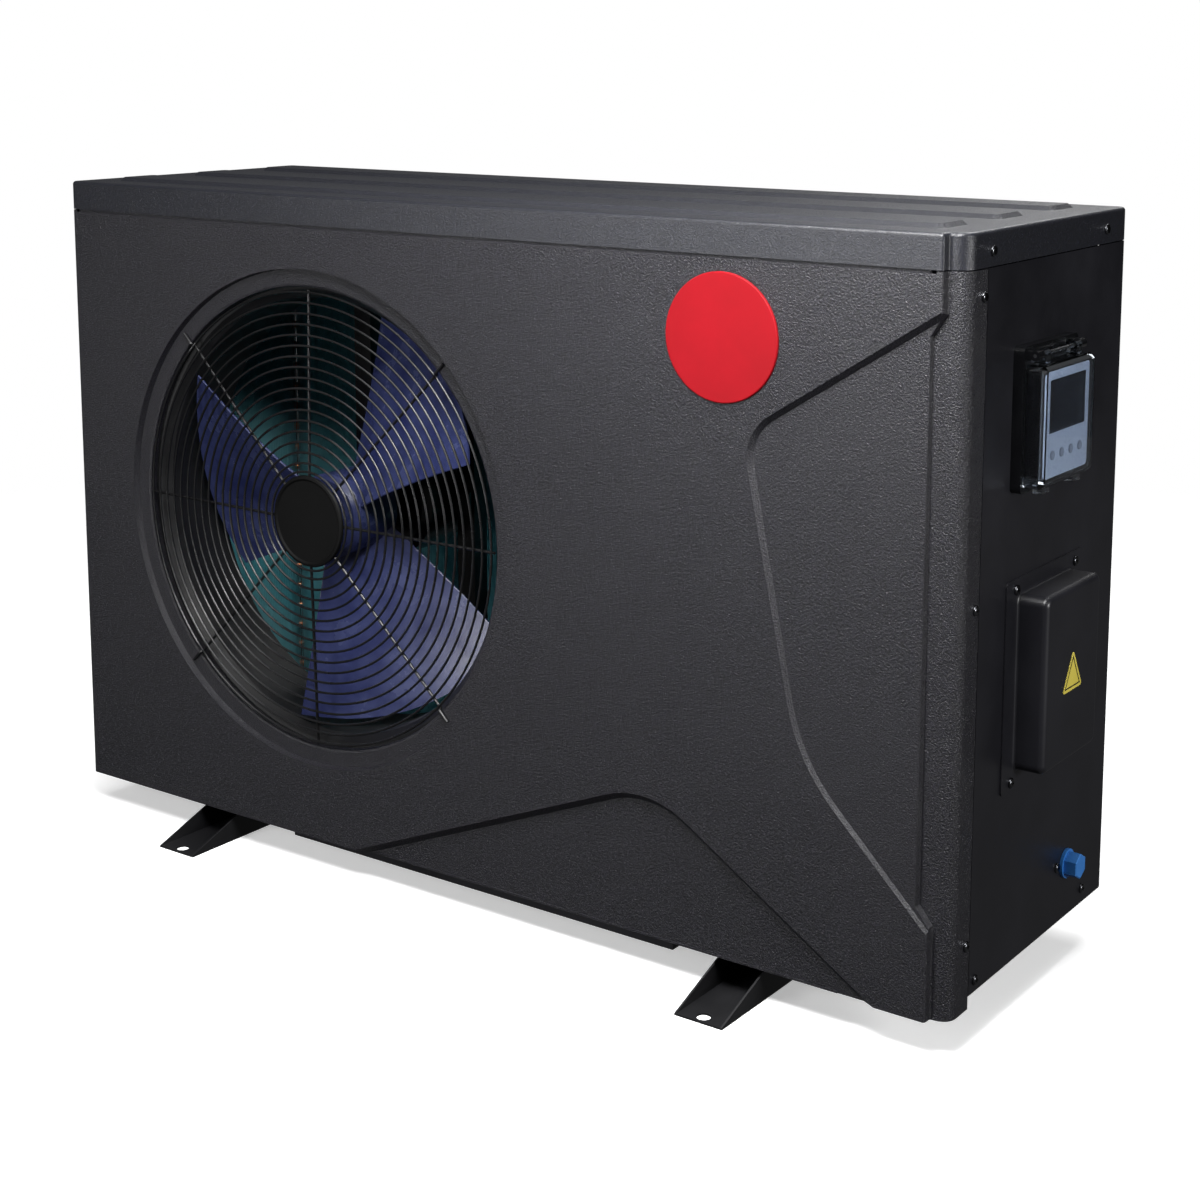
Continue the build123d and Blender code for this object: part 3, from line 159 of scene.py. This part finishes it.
# ---- side panel, rear panel and corner post ----
# Folded galvanised sheet, powder coated satin black. The coat flows out to a very slight
# orange peel, and holds a little dust in its low spots.
def powder_coat(name, hex_low, hex_high, rough, peel=0.0022, depth=0.00009):
    """Baked polyester powder on steel: orange peel about 2 mm across, cloudy gloss."""
    material, shader, place = start_material(name, rough, ior=1.5)
    peel_noise = add_node(
        material, "ShaderNodeTexNoise", {"Scale": 1 / peel, "Detail": 2.0, "Roughness": 0.55},
        {"Vector": (place, "Object")},
    )
    cloud = add_node(
        material, "ShaderNodeTexNoise", {"Scale": 7.0, "Detail": 4.0, "Roughness": 0.6},
        {"Vector": (place, "Object")},
    )
    ramp = colour_ramp(material, cloud, "Fac", [(0.35, hex_low), (0.68, hex_high)])
    plug_in(material, ramp, "Color", shader, "Base Color")
    gloss = range_of(material, cloud, "Fac", rough - 0.05, rough + 0.08, 0.3, 0.7)
    plug_in(material, gloss, "Result", shader, "Roughness")
    bump = add_node(
        material, "ShaderNodeBump", {"Strength": 0.5, "Distance": depth}, {"Height": (peel_noise, "Fac")},
    )
    plug_in(material, bump, "Normal", shader, "Normal")
    return material


satin_black = powder_coat("satin_black_powder_coat", "#131317", "#1a1a1f", 0.36)
paint(["side_panel_right", "rear_panel", "corner_post", "wiring_cover", "base_pan"], satin_black)


# ---- feet ----
# Folded steel channels across the cabinet, powder coated, whose webs taper to the anchor holes.
foot_coat = powder_coat("foot_black_powder_coat", "#0e0e10", "#18181a", 0.42)
paint(["foot_left", "foot_right"], foot_coat)


# ---- wire guards ----
# Spot-welded steel wire, dipped in black polyethylene that leaves it smooth and semi-gloss.
wire_coat = powder_coat("dipped_black_wire_coat", "#0b0b0c", "#121213", 0.26, peel=0.004, depth=0.00005)
paint(["fan_guard", "guard_rear", "guard_left"], wire_coat)


# ---- moulded small parts ----
# Injection-moulded satin plastics: a soft even sheen with the faintest flow texture.
def moulded_plastic(name, hex_low, hex_high, rough, ior=1.5):
    """Unpainted injection-moulded plastic, slightly mottled, with a fine spark-eroded surface."""
    material, shader, place = start_material(name, rough, ior=ior)
    mottle = add_node(
        material, "ShaderNodeTexNoise", {"Scale": 24.0, "Detail": 5.0, "Roughness": 0.6},
        {"Vector": (place, "Object")},
    )
    spark = add_node(
        material, "ShaderNodeTexNoise", {"Scale": 1 / 0.0009, "Detail": 1.0}, {"Vector": (place, "Object")},
    )
    ramp = colour_ramp(material, mottle, "Fac", [(0.35, hex_low), (0.7, hex_high)])
    plug_in(material, ramp, "Color", shader, "Base Color")
    gloss = range_of(material, mottle, "Fac", rough - 0.04, rough + 0.06, 0.3, 0.7)
    plug_in(material, gloss, "Result", shader, "Roughness")
    bump = add_node(
        material, "ShaderNodeBump", {"Strength": 0.3, "Distance": 0.00006}, {"Height": (spark, "Fac")},
    )
    plug_in(material, bump, "Normal", shader, "Normal")
    return material


black_nylon = moulded_plastic("black_nylon", "#0c0c0d", "#141415", 0.38)
paint(["cable_gland", "condensate_outlet", "drain_fitting", "terminal_block", "contactor"], black_nylon)
gloss_black = moulded_plastic("gloss_black_polycarbonate", "#08080a", "#0e0f11", 0.16, ior=1.58)
paint(["controller_base"], gloss_black)
plate_black = moulded_plastic("matt_black_abs", "#010101", "#020202", 0.6)
plate_black.node_tree.nodes["Principled BSDF"].inputs["Specular IOR Level"].default_value = 0.15
paint(["guard_plate"], plate_black)
shroud_abs = moulded_plastic("black_shroud_abs", "#0b0b0d", "#111113", 0.5)
paint(["fan_shroud"], shroud_abs)
key_rubber = moulded_plastic("grey_key_elastomer", "#8f97a6", "#a0a7b5", 0.5)
paint(["key_power", "key_mode", "key_up", "key_down"], key_rubber)
screen_glass = moulded_plastic("dark_lcd_window", "#1d2029", "#232731", 0.1, ior=1.52)
paint(["controller_screen"], screen_glass)
badge_red = moulded_plastic("red_domed_resin", "#7e0a13", "#850c16", 0.5)
badge_red.node_tree.nodes["Principled BSDF"].inputs["Specular IOR Level"].default_value = 0.1
paint(["badge"], badge_red)
plug_blue = moulded_plastic("blue_polypropylene", "#2f6fb8", "#3d7fca", 0.34)
paint(["drain_plug"], plug_blue)
union_grey = moulded_plastic("grey_abs_union", "#6d7075", "#7c7f84", 0.36)
unions = [f"water_{end}_{part}" for end in ("inlet", "outlet") for part in ("body", "nut", "tail")]
paint(unions, union_grey)
shell_black = moulded_plastic("black_pvc_shell", "#17181a", "#1f2022", 0.42)
paint(["heat_exchanger"], shell_black)
sticker_yellow = moulded_plastic("yellow_vinyl_film", "#d2c14e", "#dccb5a", 0.4)
paint(["hazard_sticker"], sticker_yellow)
board_green = moulded_plastic("green_glass_epoxy", "#0f3b22", "#14492b", 0.3)
paint(["circuit_board"], board_green)
mount_rubber = moulded_plastic("black_epdm_rubber", "#101010", "#181818", 0.75)
paint(["compressor_mounts"], mount_rubber)


# ---- controller face ----
# The module is moulded in gloss black, and only its front face carries a pearl-grey overlay
# film. The film is left blank, with no symbols or text.
def overlay_faced_abs(name, body_hex, film_hex, film_start):
    """Black plastic whose surface beyond a given X is covered by a satin film."""
    material, shader, place = start_material(name, 0.28, ior=1.5)
    split = add_node(material, "ShaderNodeSeparateXYZ", None, {"Vector": (place, "Object")})
    beyond = add_node(
        material, "ShaderNodeMath", {"operation": "GREATER_THAN", 1: film_start}, {0: (split, "X")},
    )
    ramp = colour_ramp(material, beyond, 0, [(0.0, body_hex), (1.0, film_hex)])
    plug_in(material, ramp, "Color", shader, "Base Color")
    fleck = add_node(
        material, "ShaderNodeTexNoise", {"Scale": 900.0, "Detail": 2.0}, {"Vector": (place, "Object")},
    )
    gloss = range_of(material, fleck, "Fac", 0.22, 0.36, 0.3, 0.7)
    plug_in(material, gloss, "Result", shader, "Roughness")
    return material


module_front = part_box("controller_module")[1].x
film_edge = 0.0012
module_abs = overlay_faced_abs("overlay_faced_abs", "#0b0b0d", "#cdd6e8", module_front - film_edge)
paint(["controller_module"], module_abs)


# ---- clear cover ----
# One flip-up cover moulded in clear polycarbonate, slightly smoked, with polished faces.
clear_pc, clear_shader, _ = start_material("clear_polycarbonate", 0.03, ior=1.58)
clear_shader.inputs["Base Color"].default_value = linear("#dfe6ee")
clear_shader.inputs["Transmission Weight"].default_value = 1.0
paint(["controller_cover"], clear_pc)


# ---- bare metals ----
# Zinc-plated screws and shafts, spangled galvanised sheet and drawn copper, with the gloss
# black enamel of the compressor and motor and the navy plastic of the fan.
def bare_metal(name, hex_low, hex_high, rough, cell, depth=0.00004):
    """Bare metal with its own pattern of patches, each cell a little lighter or darker."""
    material, shader, place = start_material(name, rough, metallic=1.0)
    patch = add_node(
        material, "ShaderNodeTexVoronoi", {"Scale": 1 / cell, "Randomness": 1.0},
        {"Vector": (place, "Object")},
    )
    haze = add_node(
        material, "ShaderNodeTexNoise", {"Scale": 40.0, "Detail": 5.0, "Roughness": 0.65},
        {"Vector": (place, "Object")},
    )
    both = add_node(
        material, "ShaderNodeMath", {"operation": "MULTIPLY_ADD", 1: 0.45},
        {0: (patch, "Color"), 2: (haze, "Fac")},
    )
    ramp = colour_ramp(material, both, 0, [(0.4, hex_low), (0.95, hex_high)])
    plug_in(material, ramp, "Color", shader, "Base Color")
    gloss = range_of(material, both, 0, rough + 0.08, rough - 0.06, 0.3, 0.95)
    plug_in(material, gloss, "Result", shader, "Roughness")
    bump = add_node(
        material, "ShaderNodeBump", {"Strength": 0.3, "Distance": depth}, {"Height": (haze, "Fac")},
    )
    plug_in(material, bump, "Normal", shader, "Normal")
    return material


galvanised = bare_metal("spangled_galvanised_sheet", "#74787c", "#a2a6aa", 0.42, 0.009)
paint(["coil_end_plates", "partition_plate", "electrical_tray"], galvanised)
zinc = bare_metal("bright_zinc_plate", "#8f9296", "#c4c6ca", 0.26, 0.002)
paint(["fan_nut", "motor_shaft", "hinge_pin", "compressor_bolts", "run_capacitor"], zinc)
black_zinc = bare_metal("black_zinc_plate", "#3c3d40", "#6d6e72", 0.25, 0.002)
paint(["panel_screws"], black_zinc)
copper = bare_metal("drawn_copper_tube", "#8a4b2e", "#c27a52", 0.3, 0.02)
paint(["evaporator_tubes", "coil_header", "refrigerant_pipes", "reversing_valve"], copper)
paint(["filter_drier", "expansion_valve"], copper)
enamel = powder_coat("gloss_black_enamel", "#0a0a0b", "#101012", 0.2)
paint(["compressor", "accumulator", "fan_motor", "motor_bracket"], enamel)
fan_navy = moulded_plastic("navy_glass_filled_polypropylene", "#222850", "#3a4168", 0.24)
paint(["fan"], fan_navy)

# ---- evaporator fins ----
# Stamped aluminium fins pushed on to the copper tubes and bent round the cabinet's left rear
# corner with them, at a 3 mm pitch and lacquered blue-green.
coated_fin = powder_coat("blue_green_fin_lacquer", "#4b9aa6", "#86c8d0", 0.34)


def keep_piece(name, mesh_maker, material, body="cabinet"):
    """Makes an object from a finished bmesh, paints it and fixes it to its body."""
    mesh = bpy.data.meshes.new(name)
    mesh_maker.to_mesh(mesh)
    mesh_maker.free()
    mesh.materials.append(material)
    piece = bpy.data.objects.new(name, mesh)
    scene.collection.objects.link(piece)
    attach(piece, body)
    return piece


fin_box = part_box("evaporator_fins")
fin_pitch = 0.003
fin_depth = 0.026
fin_thickness = 0.0004
coil_corner = 0.030
fin_height = fin_box[1].z - fin_box[0].z
rear_y = fin_box[1].y - fin_depth / 2
left_x = fin_box[0].x + fin_depth / 2
corner = Vector((left_x + coil_corner, rear_y - coil_corner, 0))
fins = bmesh.new()


def add_fin(centre, across):
    """One upright fin at a place in plan; across is its size in X and in Y."""
    fin = bmesh.ops.create_cube(fins, size=1.0)["verts"]
    bmesh.ops.scale(fins, verts=fin, vec=(across[0], across[1], fin_height))
    middle = (fin_box[0].z + fin_box[1].z) / 2
    bmesh.ops.translate(fins, verts=fin, vec=(centre[0], centre[1], middle))
    faces = {face for vert in fin for face in vert.link_faces}
    edges = {edge for vert in fin for edge in vert.link_edges}
    return list(fin) + list(edges) + list(faces)


rear_steps = int((fin_box[1].x - corner.x) / fin_pitch)
rear_fin = add_fin((corner.x, rear_y), (fin_thickness, fin_depth))
bmesh.ops.spin(
    fins, geom=rear_fin, cent=(0, 0, 0), axis=(0, 0, 1), dvec=(fin_pitch, 0, 0), angle=0,
    steps=rear_steps, use_duplicate=True,
)
left_steps = int((corner.y - fin_box[0].y) / fin_pitch)
left_fin = add_fin((left_x, corner.y), (fin_depth, fin_thickness))
bmesh.ops.spin(
    fins, geom=left_fin, cent=(0, 0, 0), axis=(0, 0, 1), dvec=(0, -fin_pitch, 0), angle=0,
    steps=left_steps, use_duplicate=True,
)
bend_steps = 15
bend_clearance = 0.0006
bend_fin = add_fin((left_x, corner.y + bend_clearance), (fin_depth, fin_thickness))
bmesh.ops.spin(
    fins, geom=bend_fin, cent=corner, axis=(0, 0, 1), dvec=(0, 0, 0), angle=math.radians(-88),
    steps=bend_steps, use_duplicate=True,
)
fin_pack = keep_piece("fin_pack", fins, coated_fin)
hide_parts("evaporator_fins")

# ---- triangle border ----
# A plain black line printed just inside the yellow triangle's edge.
print_black = moulded_plastic("black_screen_print", "#0a0a0a", "#101010", 0.5)
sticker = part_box("hazard_sticker")
border = bmesh.new()
sticker_height = sticker[1].z - sticker[0].z
line_radius = sticker_height * 0.56
line_width = 0.0014
line_thickness = 0.00012
sunk = 0.00002
bmesh.ops.create_circle(border, cap_ends=True, segments=3, radius=line_radius)
bmesh.ops.inset_region(
    border, faces=border.faces[:], thickness=line_width, use_even_offset=True, use_boundary=True,
)
middle_face = [face for face in border.faces if len(face.verts) == 3]
bmesh.ops.delete(border, geom=middle_face, context="FACES_ONLY")
raised = bmesh.ops.extrude_face_region(border, geom=border.faces[:])
raised_verts = [item for item in raised["geom"] if isinstance(item, bmesh.types.BMVert)]
bmesh.ops.translate(border, verts=raised_verts, vec=(0, 0, line_thickness))
stand_up = Matrix(((0, 0, 1), (1, 0, 0), (0, 1, 0)))
bmesh.ops.rotate(border, verts=border.verts, cent=(0, 0, 0), matrix=stand_up)
sticker_middle_y = (sticker[0].y + sticker[1].y) / 2
sticker_middle_z = sticker[0].z + sticker_height * 0.36
border_place = (sticker[1].x - sunk, sticker_middle_y, sticker_middle_z)
bmesh.ops.translate(border, verts=border.verts, vec=border_place)
bmesh.ops.recalc_face_normals(border, faces=border.faces[:])
sticker_border = keep_piece("sticker_border", border, print_black)

# ---- floor, lights and camera ----
# A pale floor that fades out to white, a close key above the front panel's right half, broad
# fills from the front, above and behind, and a strip that picks out the right front corner.
bpy.ops.mesh.primitive_plane_add(size=12, location=(0, 0, 0))
floor = bpy.context.object
floor.name = "pale_floor"
floor_paint, floor_shader, floor_place = start_material("pale_floor_paint", 0.9)
floor_shader.inputs["Base Color"].default_value = linear("#f6f6f6")
floor_shader.inputs["Emission Color"].default_value = (1, 1, 1, 1)
floor_shader.inputs["Emission Strength"].default_value = 0.42
reach = add_node(
    floor_paint, "ShaderNodeVectorMath", {"operation": "LENGTH"}, {0: (floor_place, "Object")},
)
fade_start = 0.8
fade_end = 2.2
fade = range_of(floor_paint, reach, "Value", 1.0, 0.0, fade_start, fade_end)
plug_in(floor_paint, fade, "Result", floor_shader, "Alpha")
floor.data.materials.append(floor_paint)
floor.visible_glossy = False
floor.visible_diffuse = False

world = bpy.data.worlds.new("white_surround")
world.use_nodes = True
scene.world = world
surround = world.node_tree.nodes["Background"]
surround.inputs["Color"].default_value = (1, 1, 1, 1)
backdrop_brightness = 1.0
surround_brightness = 0.07
seen = add_node(world, "ShaderNodeLightPath")
level = range_of(world, seen, "Is Camera Ray", surround_brightness, backdrop_brightness)
world.node_tree.links.new(level.outputs["Result"], surround.inputs["Strength"])

# Painted reflection: a black sheet that only glossy rays see, darkening what the right side panel reflects.
bpy.ops.mesh.primitive_plane_add(size=1)
flag = bpy.context.object
flag.name = "dark_flag"
flag.scale = (3.4, 2.4, 1)
flag.rotation_euler = (math.radians(90), 0, math.radians(-36))
flag.location = (1.55, 1.35, 1.42)
flag_paint, flag_shader, _ = start_material("reflection_only_black_sheet", 1.0)
flag_shader.inputs["Base Color"].default_value = (0, 0, 0, 1)
flag.data.materials.append(flag_paint)
flag.visible_camera = False
flag.visible_diffuse = False
flag.visible_shadow = False
flag.visible_transmission = False


def soft_light(name, place, target, size, power):
    """A large square area light aimed at a point."""
    lamp = bpy.data.lights.new(name, "AREA")
    lamp.size = size
    lamp.energy = power
    lamp_object = bpy.data.objects.new(name, lamp)
    lamp_object.location = place
    direction = Vector(target) - Vector(place)
    lamp_object.rotation_euler = direction.to_track_quat("-Z", "Y").to_euler()
    lamp_object.visible_camera = False
    scene.collection.objects.link(lamp_object)


soft_light("front_softbox", (-0.45, -2.0, 0.95), (0.35, -0.18, 0.6), 0.8, 9)
soft_light("fan_glint", (-0.7, -3.0, 0.55), (-0.19, -0.1, 0.39), 0.7, 26)
soft_light("upper_key", (0.45, -0.66, 1.22), (0.3, -0.18, 0.6), 0.4, 24)
soft_light("overhead_softbox", (0.2, -1.0, 3.4), (0, 0, 0), 2.2, 75)
soft_light("back_fill", (0.1, 2.5, 3.0), (0, 0.1, 0.4), 1.6, 85)
soft_light("corner_strip", (2.7, -0.25, 0.8), (0.56, -0.16, 0.4), 0.5, 34)

camera_data = bpy.data.cameras.new("camera")
camera = bpy.data.objects.new("camera", camera_data)
scene.collection.objects.link(camera)
camera_data.sensor_width = 36.0
camera_data.lens = 62.2
camera_data.shift_y = -0.20
camera_data.clip_end = 100
camera.location = (1.3205, -1.7410, 0.8949)
camera.rotation_mode = "XYZ"
camera.rotation_euler = (math.radians(90 - 8.81), 0, math.radians(35.77))
scene.camera = camera
scene.view_settings.view_transform = "Standard"
